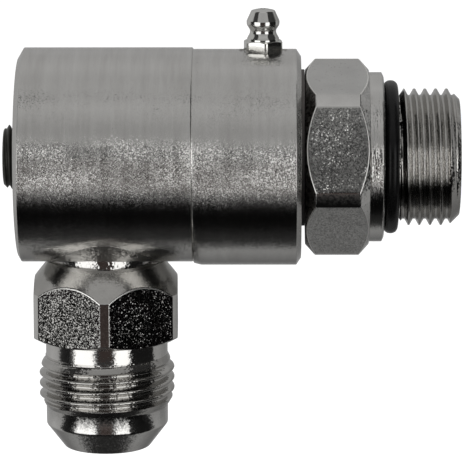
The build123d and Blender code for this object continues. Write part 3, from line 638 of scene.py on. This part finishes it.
def buildHousing():
    b, angle = barrel, evenAngles(192)
    # The taper, turned about the elbow body's own axis, ends where it is as wide as the housing
    turn = np.radians(angle)
    leaning = 2 * b["housing"] * b["rise"] * np.sin(turn)
    fromElbowAxis = np.sqrt(b["housing"] ** 2 - leaning + b["rise"] ** 2)
    raised = b["elbow"] + b["bevelHeight"]
    taperLength = (fromElbowAxis - raised) / np.tan(np.radians(b["taper"]))
    reach = b["bevelLength"] + np.maximum(taperLength, b["leastTaper"])
    startRadius = np.minimum(offCentre(angle, b["elbow"], b["rise"]), b["housing"])
    bevelRadius = np.minimum(offCentre(angle, raised, b["rise"]), b["housing"])
    shell = np.stack([
        oneRow(b["seam"], b["spigot"], angle),
        oneRow(b["seam"], startRadius - b["seamStep"], angle),
        oneRow(b["seam"] + b["bevelLength"], bevelRadius, angle),
        oneRow(b["seam"] + reach, b["housing"], angle),
    ])
    spigotSeat = b["spigotEnd"] - b["spigotRoom"]
    rest = ringRows([
        (b["right"] - b["chamferAxial"], b["housing"]),
        (b["right"], b["housing"] - b["chamferRadial"]), (b["right"], b["wiper"]),
        (b["wiperLeft"], b["wiper"]), (b["wiperLeft"], b["neckBore"]),
        (b["raceSeat"], b["neckBore"]), (b["raceSeat"], b["race"]),
        (spigotSeat, b["race"]), (spigotSeat, b["spigot"]),
    ], angle)
    cuts = [*b["housingCuts"], *[0.0] * (len(shell) + len(rest) - len(b["housingCuts"]))]
    rows = softened(np.concatenate([shell, rest]), cuts)
    piece = surface("bearingHousing", alongX(rows, angle), [barrelSteel])
    f, ring = fitting, evenAngles(96)
    floor, mouth = f["seat"] - f["threadLength"], f["seat"] + f["cutPast"]
    inside, bore = b["race"] - f["cutPast"], f["thread"] + f["threadRoom"]
    hole = ringRows([
        (inside, 0.0), (inside, f["hole"]), (floor, f["hole"]), (floor, bore), (f["seat"], bore),
        (f["seat"], f["spotFace"]), (mouth, f["spotFace"]), (mouth, 0.0),
    ], ring)
    cutter = upright(f["x"], 1, hole, ring)
    cutWith(piece, surface("fittingCutter", cutter, [barrelSteel], closed=False))
    trueNormals(piece, b["housing"], 0.0)
    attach(piece, "barrel")
    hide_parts("bearing_housing")


buildElbow()
buildHousing()
print("barrel made")


# Flare adapter, measured downwards from the swivel axis

adapter = {
    "top": 12.0, "spigot": 9.3, "coneAt": 18.86, "coneStart": 9.9, "coneSlope": 0.97,
    "coneCrown": 0.02346, "coneSteps": 6, "hexBottom": 36.1, "hexFace": 14.1,
    "chamferAngle": 30.0, "root": 12.135, "threadTop": 39.5, "threadFoot": 50.1,
    "noseEdge": 53.64, "noseTip": 58.35, "tip": 8.58, "bore": 7.75, "flatFrom": 14.0,
    "noseCuts": (0.0, 0.25, 0.2, 0.15), "hexCuts": (0.2, 0.2, 0.1, 0.3, 0.0),
}
adapterHex = {"flats": 28.4, "turned": 31.74, "turn": 31.15, "soft": 0.02}
flareThread = {
    "pitch": 2.1167, "crest": 0.26, "flank": 0.73, "depth": 1.3, "radius": 13.475,
    "crestAt": 40.79, "round": 0.05,
    "outline": [(39.5, 12.135), (42.4, 13.475), (47.8, 13.475), (50.1, 12.135)],
}


def buildAdapter():
    a, angle = adapter, hexAngles(adapterHex)
    wide = hexRadius(angle, adapterHex)
    # The cone is slightly crowned: radius = start + slope t - crown t^2 at t below its top.
    # It ends where it is as wide as the hexagon, at the lesser root of that equation.
    slope, crown = a["coneSlope"], a["coneCrown"]
    under = slope ** 2 - 4 * crown * (wide - a["coneStart"])
    reach = (slope - np.sqrt(under)) / (2 * crown)
    coneFoot = a["coneAt"] + reach
    t = np.linspace(0, 1, a["coneSteps"] + 1)[:-1, None] * reach[None, :]
    cone = np.stack([a["coneAt"] + t, a["coneStart"] + slope * t - crown * t ** 2], axis=2)
    chamferTop = a["hexBottom"] - (wide - a["hexFace"]) * np.tan(np.radians(a["chamferAngle"]))
    before = ringRows([
        (a["threadFoot"], a["root"]), (a["noseEdge"], a["root"]), (a["noseTip"], a["tip"]),
        (a["noseTip"], a["bore"]), (a["top"], a["bore"]), (a["top"], a["spigot"]),
        (a["coneAt"], a["spigot"]),
    ], angle)
    hexagon = np.stack([
        oneRow(coneFoot, wide, angle),
        oneRow(chamferTop, wide, angle),
        oneRow(a["hexBottom"], a["hexFace"], angle),
    ])
    after = ringRows([(a["hexBottom"], a["root"]), (a["threadTop"], a["root"])], angle)
    sharp = [0.0] * (len(before) + len(cone) - len(a["noseCuts"]))
    cuts = [*a["noseCuts"], *sharp, *a["hexCuts"]]
    rows = softened(np.concatenate([before, cone, hexagon, after]), cuts)
    whole = np.concatenate([rows, threadRows(angle, flareThread)])
    # Flats are etched, from just above the cone's foot to just below the chamfer
    turned, flat, threaded, paintedHighlight, coned = range(5)
    along, radius = whole[:, :-1, 0], whole[:, :-1, 1]
    onFlat = flatColumns(angle, adapterHex)
    between = (along >= coneFoot[:-1] - 0.2) & (along < chamferTop[:-1] + 0.1)
    faceMaterial = np.where(between & (radius > a["flatFrom"]) & onFlat, flat, turned)
    faceMaterial[len(rows):] = threaded
    foot = (len(before) + len(cone)) * cornerRows
    # Where the cone's foot meets the flats, the rows get a painted highlight, a bright edge line
    faceMaterial[foot + 2:foot + 4, onFlat] = paintedHighlight
    faceMaterial[len(before) * cornerRows:foot + 1] = coned
    steels = [adapterTurnedSteel, adapterFlatSteel, threadSteel, paintedHighlightSteel, coneSteel]
    piece = surface("flareAdapter", upright(port["x"], -1, whole, angle), steels, faceMaterial)
    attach(piece, "barrel")
    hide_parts("flare_adapter")


buildAdapter()
print("flare adapter made")

bead = {
    "top": 18.87, "inner": 10.3, "outer": 11.62, "depth": 1.6, "sideThinner": 0.55, "lip": 0.2,
    "wave": 0.07, "offCone": 0.06, "filletRadius": 11.78, "filletReach": 2.3,
    "filletLine": 21.07, "filletTilt": 0.198, "filletWave": 0.04, "filletLip": 0.12,
    "mostHang": 2.0, "cuts": (0.0, 0.1, 0.15, 0.02, 0.08, 0.05, 0.0),
}


def buildBraze():
    # Bead between the elbow body and the cone: its foot lies on the cone,
    # at depth - thinner sin^2 + waves
    w, a, b, angle = bead, adapter, barrel, evenAngles(144)
    turn = np.radians(angle)
    waves = w["wave"] * (np.sin(5 * turn + 1) + 0.6 * np.sin(11 * turn))
    depth = w["depth"] - w["sideThinner"] * np.sin(turn) ** 2 + waves
    cone = a["coneStart"] + a["coneSlope"] * depth - a["coneCrown"] * depth ** 2
    onCone = cone + w["offCone"]
    lip = np.minimum(onCone + w["lip"], w["outer"] + 0.02)

    # The elbow body's own depth at a radius from the adapter's middle:
    # sqrt(elbow^2 - (radius cos)^2) - rise
    def bodyDepth(radius):
        return np.sqrt(b["elbow"] ** 2 - (radius * np.cos(turn)) ** 2) - b["rise"]

    # The fillet hangs from the body in front and behind, down to line - tilt radius |cos|,
    # and dies out at the sides
    ripple = w["filletWave"] * (np.sin(7 * turn) + 0.7 * np.sin(17 * turn + 2))
    hem = w["filletLine"] - w["filletTilt"] * w["filletRadius"] * np.abs(np.cos(turn)) + ripple
    most = bodyDepth(w["filletRadius"]) + w["mostHang"] * np.cos(turn) ** 2 + 0.2
    hem = np.minimum(hem, most)
    reach = w["filletRadius"] + w["filletReach"] * np.cos(turn) ** 2 + 0.1
    lipDepth = np.maximum(w["top"] + depth - w["lip"], hem + 0.05)
    rows = softened(np.stack([
        oneRow(w["top"], w["inner"], angle),
        oneRow(w["top"] + depth, onCone, angle),
        oneRow(lipDepth, lip, angle),
        oneRow(hem - w["filletLip"], w["outer"], angle),
        oneRow(hem, w["filletRadius"], angle),
        oneRow(bodyDepth(reach) - 0.03, reach, angle),
        oneRow(np.minimum(bodyDepth(w["inner"]), w["top"]) - 0.3, w["inner"], angle),
    ]), w["cuts"])
    faceMaterial = np.zeros((len(rows), len(angle) - 1), int)
    faceMaterial[3 * cornerRows + 2:] = 1
    place = upright(port["x"], -1, rows, angle)
    piece = surface("brazeBead", place, [braze, filletSteel], faceMaterial)
    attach(piece, "barrel")
    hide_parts("braze_ring")


buildBraze()
print("braze bead made")


# Port ring, wiper, plug and grease fitting

portRing = {"left": -3.1, "width": 2.85, "inner": 12.1, "outer": 15.1, "square": 2.35}


def buildPortRing():
    # Section is a rounded square, |u|^n + |v|^n = 1, as a stretched ring squeezed into its groove
    r, angle = portRing, evenAngles(160)
    turn = np.linspace(0, 2 * np.pi, 33)[:-1]
    power = 2 / r["square"]
    u = np.sign(np.cos(turn)) * np.abs(np.cos(turn)) ** power
    v = np.sign(np.sin(turn)) * np.abs(np.sin(turn)) ** power
    middle, half = (r["inner"] + r["outer"]) / 2, (r["outer"] - r["inner"]) / 2
    section = np.stack([r["left"] + r["width"] / 2 * (1 + u), middle + half * v], axis=1)
    piece = surface("portRing", alongX(ringRows(section, angle), angle), [blackRubber])
    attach(piece, "stem_side")
    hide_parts("port_o_ring")


wiper = {
    "left": -21.15, "face": -19.28, "inner": 13.4, "outer": 15.15, "lipFace": -18.62,
    "lipRadius": 15.3, "lipRise": 2.0, "lipLeast": 13.6, "cuts": (0.05, 0.1, 0.0, 0.12, 0.12, 0.05),
}


def buildWiper():
    # Ring whose lip has been pushed out of the gap on one side: the lip's edge is a circle
    # that stands lipRise off the swivel axis
    w, angle = wiper, evenAngles(128)
    lip = np.maximum(offCentre(angle, w["lipRadius"], w["lipRise"]), w["lipLeast"])
    rows = softened(np.stack([
        oneRow(w["left"], w["inner"], angle),
        oneRow(w["left"], w["outer"], angle),
        oneRow(w["face"], w["outer"], angle),
        oneRow(w["face"], lip, angle),
        oneRow(w["lipFace"], lip, angle),
        oneRow(w["lipFace"], w["inner"], angle),
    ]), w["cuts"])
    piece = surface("wiperRing", alongX(rows, angle), [dustyRubber])
    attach(piece, "barrel")
    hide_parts("wiper_seal")


plug = {
    "outer": -77.9, "inner": -67.64, "hexDepth": 5.5, "drillDepth": 1.2, "drill": 3.1,
    "mouthDepth": 0.35, "mouth": 3.75, "innerFace": 5.45, "rim": (-77.85, 5.5),
    "cuts": (0, 0, 0.1, 0.1, 0.1, 0.1, 0),
}
plugThread = {
    "pitch": 1.27, "crest": 0.18, "flank": 0.42, "depth": 0.7, "radius": 6.35, "crestAt": -76.5,
    "round": 0.04, "outline": [(-77.85, 5.5), (-77.0, 6.35), (-68.54, 6.35), (-67.64, 5.45)],
}
plugHex = {"flats": 6.35, "turned": 7.2, "turn": 30.0, "soft": 0.02}


def buildPlug():
    p, angle = plug, hexAngles(plugHex, 5, 4, 2)
    socket, socketFloor = hexRadius(angle, plugHex), p["outer"] + p["hexDepth"]
    inside = np.stack([
        oneRow(socketFloor + p["drillDepth"], 0.0, angle),
        oneRow(socketFloor, p["drill"], angle),
        oneRow(socketFloor, socket, angle),
        oneRow(p["outer"] + p["mouthDepth"], socket, angle),
        oneRow(p["outer"], p["mouth"], angle),
        oneRow(p["outer"], p["innerFace"], angle),
        oneRow(*p["rim"], angle),
    ])
    end = ringRows([(p["inner"], p["innerFace"]), (p["inner"], 0.0)], angle)
    rows = np.concatenate([softened(inside, p["cuts"]), threadRows(angle, plugThread), end])
    piece = surface("endPlug", alongX(rows, angle), [blackOxide], closed=False)
    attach(piece, "barrel")
    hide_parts("end_plug")


nippleHex = {"flats": 7.14, "turned": 7.9, "turn": -21.0, "soft": 0.02}


def buildFitting():
    f, angle = fitting, hexAngles(nippleHex, 6, 4, 2)
    base, ease = f["seat"], f["footEase"]
    wide = hexRadius(angle, nippleHex)
    chamfer = (wide - f["hexFace"]) * np.tan(np.radians(30))
    hexagon = np.stack([
        oneRow(base, f["thread"], angle),
        oneRow(base, wide - ease, angle),
        oneRow(base + ease, wide, angle),
        oneRow(base + f["hexHeight"] - chamfer, wide, angle),
        oneRow(base + f["hexHeight"], f["hexFace"], angle),
    ])
    # Waist: radius falls from the hexagon to the neck and swells to the head,
    # a cosine on each side
    t = np.linspace(0, 1, 9)
    rise = f["headHeight"] - f["rim"] / 2
    fall, swell = (1 + np.cos(np.pi * t)) / 2, (1 - np.cos(np.pi * t)) / 2
    lower = np.stack([base + f["hexHeight"] + (f["neckHeight"] - f["hexHeight"]) * t,
                      f["neck"] + (f["root"] - f["neck"]) * fall], axis=1)
    upper = np.stack([base + f["neckHeight"] + (rise - f["neckHeight"]) * t,
                      f["neck"] + (f["head"] - f["neck"]) * swell], axis=1)
    tip, seat, foot = base + f["tipHeight"], f["orificeDepth"], base - f["threadLength"]
    top = np.array([
        (base + f["headHeight"] + f["rim"] / 2, f["head"]), (base + f["topHeight"], f["top"]),
        (tip, f["tip"]), (tip, f["orifice"]), (tip - seat, f["orifice"]),
        (tip - seat - f["seatDepth"], f["chamber"]), (tip - seat - f["chamberDepth"], f["chamber"]),
        (tip - seat - f["chamberDepth"], f["hole"]), (foot, f["hole"]), (foot, f["thread"]),
    ])
    waist = np.concatenate([lower, upper[1:]])
    cuts = [*f["hexCuts"], *[0.0] * (len(waist) - 1), *f["capCuts"]]
    cuts += [0.0] * (len(hexagon) + len(waist) + len(top) - len(cuts))
    profile = ringRows(np.concatenate([waist, top]), angle)
    rows = softened(np.concatenate([hexagon, profile]), cuts)
    place = upright(f["x"], 1, rows, angle)
    piece = surface("greaseFitting", place, [nippleSteel], smoothBelow=50)
    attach(piece, "barrel")
    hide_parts("grease_fitting")


buildPortRing()
buildWiper()
buildPlug()
buildFitting()
print("small pieces made")


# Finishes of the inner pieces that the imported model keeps

innerFinishes = {
    "thrust_collar": stemTurnedSteel, "snap_ring": nippleSteel, "front_balls": nippleSteel,
    "rear_balls": nippleSteel, "front_race": stemTurnedSteel, "rear_race": stemTurnedSteel,
    "bearing_shim": nippleSteel, "spigot_o_ring": blackRubber, "grease_seal": blackRubber,
    "pressure_o_ring": blackRubber, "rear_backup_ring": sealPlastic,
    "front_backup_ring": sealPlastic, "check_ball": nippleSteel, "check_spring": nippleSteel,
}
for nodeName, finish in innerFinishes.items():
    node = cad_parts[nodeName]
    for materialSlot in node.material_slots:
        materialSlot.link = "OBJECT"
        materialSlot.material = finish
    if not node.material_slots:
        node.data.materials.append(finish)
print("inner pieces finished")


# Camera, light and floor

viewpoint = {
    "aim": (-33.139, 0.0, -14.930), "distance": 692.886, "elevation": 11.2094,
    "azimuth": -0.6273, "roll": -0.1301, "lens": 272.345, "sensor": 36.0, "clip": (0.05, 20.0),
}


def buildCamera():
    v = viewpoint
    a, e, roll = np.radians([v["azimuth"], v["elevation"], v["roll"]])
    away = np.array([np.sin(a) * np.cos(e), np.cos(a) * np.cos(e), -np.sin(e)])
    flat = np.array([np.cos(a), -np.sin(a), 0.0])
    lift = np.cross(flat, away)
    right = np.cos(roll) * flat + np.sin(roll) * lift
    up = np.cos(roll) * lift - np.sin(roll) * flat
    data = bpy.data.cameras.new("camera")
    data.lens, data.sensor_width = v["lens"], v["sensor"]
    data.clip_start, data.clip_end = v["clip"]
    camera = addObject("camera", data)
    turned = Matrix(np.stack([right, up, -away], axis=1).tolist()).to_4x4()
    place = (np.array(v["aim"]) - v["distance"] * away) * mm
    camera.matrix_world = Matrix.Translation(Vector(place.tolist())) @ turned
    bpy.context.scene.camera = camera


# What bright metal sees, by degrees. Sky: brightness by tilt from ahead over the top. Belt: by
# bearing between the low and high edges, two soft boxes beside the camera, dark between them and
# at the sides, grey behind. Posts: dark strips beside the boxes that reach up into the sky.
studio = {
    "white": 1.0, "soft": 0.9, "boxes": 1.7,
    "sky": [(-180, 0.12), (-150, 0.1), (-130, 0.21), (-118, 0.27), (-109, 0.32), (-104, 0.22),
            (-97, 0.055), (-92, 0.03), (-80, 0.02), (-72, 0.006), (-60, 0.003), (-46, 0.006),
            (-36, 0.04), (-24, 0.2), (20, 0.4), (38, 0.4), (62, 0.55), (82, 0.49), (100, 0.45),
            (118, 0.5), (140, 0.44), (180, 0.42)],
    "belt": [(-180, 0.38), (-140, 0.42), (-122, 0.5), (-105, 0.46), (-98, 0.4), (-94, 0.03),
             (-74, 0.012), (-64, 0.1), (-60, 1.0), (-23, 1.0), (-18, 0.04), (15, 0.04), (19, 1.0),
             (44, 1.0), (48, 0.01), (99, 0.012), (103, 0.38), (116, 0.37), (127, 0.3),
             (147, 0.26), (180, 0.36)],
    "posts": [(-180, 1.0), (-88, 1.0), (-82, 0.08), (-47, 0.08), (-43, 1.0), (43, 1.0),
              (47, 0.08), (112, 0.08), (120, 1.0), (180, 1.0)],
    "lowEdge": -28.5, "lowSoft": 16.0, "highEdge": 20.3, "highSoft": 5.0,
    "postTop": 66.0, "postSoft": 0.1, "postFoot": 0.2,  # the two last in radians
    "brown": (1.25, 0.96, 0.88), "brownTo": 12.0, "brownSide": 3.0,
    "brownTop": 4.0, "brownSoft": 4.0,
}


def tableRamp(nodes, links, angle, table):
    # Brightness read from a table of (angle, brightness) along a full circle
    ramp = nodes.new("ShaderNodeValToRGB")
    links.new(ranged(nodes, links, angle, -np.pi, np.pi, 0, 1), ramp.inputs["Fac"])
    stops = ramp.color_ramp.elements
    while len(stops) > 1:
        stops.remove(stops[-1])
    for index, (degree, value) in enumerate(table):
        stop = stops[0] if index == 0 else stops.new((degree + 180) / 360)
        stop.position = (degree + 180) / 360
        stop.color = (value, value, value, 1)
    return arithmetic(nodes, links, "MULTIPLY", ramp.outputs["Color"], 1.0)


def buildWorld():
    s = studio
    world = bpy.data.worlds.new("studio")
    bpy.context.scene.world = world
    world.use_nodes = True
    nodes, links = world.node_tree.nodes, world.node_tree.links
    background = nodes["Background"]
    parts = nodes.new("ShaderNodeSeparateXYZ")
    links.new(nodes.new("ShaderNodeTexCoord").outputs["Generated"], parts.inputs["Vector"])
    x, y, z = parts.outputs
    forward = arithmetic(nodes, links, "MULTIPLY", y, -1.0)
    tilt = arithmetic(nodes, links, "ARCTAN2", z, forward)
    bearing = arithmetic(nodes, links, "ARCTAN2", x, forward)
    height = arithmetic(nodes, links, "ARCSINE", z)
    sky = tableRamp(nodes, links, tilt, s["sky"])
    belt = tableRamp(nodes, links, bearing, s["belt"])
    boxes = ranged(nodes, links, belt, 0.5, 1.0, 0, s["boxes"] - 1.0)
    belt = arithmetic(nodes, links, "ADD", belt, boxes)
    edges = ("lowEdge", "lowSoft", "highEdge", "highSoft")
    low, lowSoft, high, highSoft = (np.radians(s[key]) for key in edges)
    above = ranged(nodes, links, height, low - lowSoft, low + lowSoft, 0, 1, "SMOOTHSTEP")
    below = ranged(nodes, links, height, high - highSoft, high + highSoft, 1, 0, "SMOOTHSTEP")
    inBelt = arithmetic(nodes, links, "MULTIPLY", above, below)
    top, soft = np.radians(s["postTop"]), s["postSoft"]
    underTop = ranged(nodes, links, height, top - soft, top + soft, 1, 0)
    overFoot = ranged(nodes, links, height, 0.0, s["postFoot"], 0, 1)
    reachUp = arithmetic(nodes, links, "MULTIPLY", underTop, overFoot)
    posts = tableRamp(nodes, links, bearing, s["posts"])
    posts = blend(nodes, links, "FLOAT", reachUp, 1.0, posts)
    sky = arithmetic(nodes, links, "MULTIPLY", sky, posts)
    seen = blend(nodes, links, "FLOAT", inBelt, sky, belt)
    # Mirror rays see all that, soft rays an even light and the camera white
    rays = nodes.new("ShaderNodeLightPath").outputs
    through = rays["Is Transmission Ray"]
    mirrored = arithmetic(nodes, links, "MAXIMUM", rays["Is Glossy Ray"], through)
    glossy = blend(nodes, links, "FLOAT", mirrored, s["soft"], seen)
    strength = blend(nodes, links, "FLOAT", rays["Is Camera Ray"], glossy, s["white"])
    links.new(strength, background.inputs["Strength"])
    # The dark between the soft boxes is a little brown, for mirror rays alone
    aside = arithmetic(nodes, links, "ABSOLUTE", bearing)
    side, most = np.radians(s["brownTo"]), np.radians(s["brownTo"] + s["brownSide"])
    ahead = ranged(nodes, links, aside, side, most, 1, 0)
    low, high = (np.radians(s["brownTop"] + step) for step in (-s["brownSoft"], s["brownSoft"]))
    beneath = ranged(nodes, links, height, low, high, 1, 0)
    ahead = arithmetic(nodes, links, "MULTIPLY", ahead, inBelt)
    beneath = arithmetic(nodes, links, "MULTIPLY", beneath, mirrored)
    brownAt = arithmetic(nodes, links, "MULTIPLY", ahead, beneath)
    tint = blend(nodes, links, "RGBA", brownAt, (1.0, 1.0, 1.0), s["brown"])
    links.new(tint, background.inputs["Color"])


floorPlan = {"height": -0.26, "size": 6.0, "colour": (0.9, 0.9, 0.9), "glow": 0.25}  # metres


def buildFloor():
    half, height = floorPlan["size"] / 2, floorPlan["height"]
    corners = [(x * half, y * half, height) for x, y in ((-1, -1), (1, -1), (1, 1), (-1, 1))]
    mesh = bpy.data.meshes.new("floor")
    mesh.from_pydata(corners, [], [(0, 1, 2, 3)])
    floor = addObject("floor", mesh)
    material, nodes, links, shader = newMaterial("floorPaper")
    shader.inputs["Base Color"].default_value = (*floorPlan["colour"], 1)
    shader.inputs["Roughness"].default_value = 0.9
    shader.inputs["Emission Color"].default_value = (1, 1, 1, 1)
    cameraRay = nodes.new("ShaderNodeLightPath").outputs["Is Camera Ray"]
    glow = arithmetic(nodes, links, "MULTIPLY", cameraRay, floorPlan["glow"])
    links.new(glow, shader.inputs["Emission Strength"])
    mesh.materials.append(material)
    floor.visible_glossy = False


lamp = {"place": (0.25, -0.35, 0.8), "aim": (-0.033, 0, 0), "size": 0.6, "power": 6.0}  # metres


def buildLamp():
    data = bpy.data.lights.new("softLamp", "AREA")
    data.shape, data.size, data.energy = "DISK", lamp["size"], lamp["power"]
    light = addObject("softLamp", data)
    place = Vector(lamp["place"])
    turned = (Vector(lamp["aim"]) - place).to_track_quat("-Z", "Y").to_matrix().to_4x4()
    light.matrix_world = Matrix.Translation(place) @ turned
    light.visible_glossy = False


buildCamera()
buildWorld()
buildFloor()
buildLamp()
bpy.context.scene.view_settings.view_transform = "Standard"
print("camera, light and floor made")
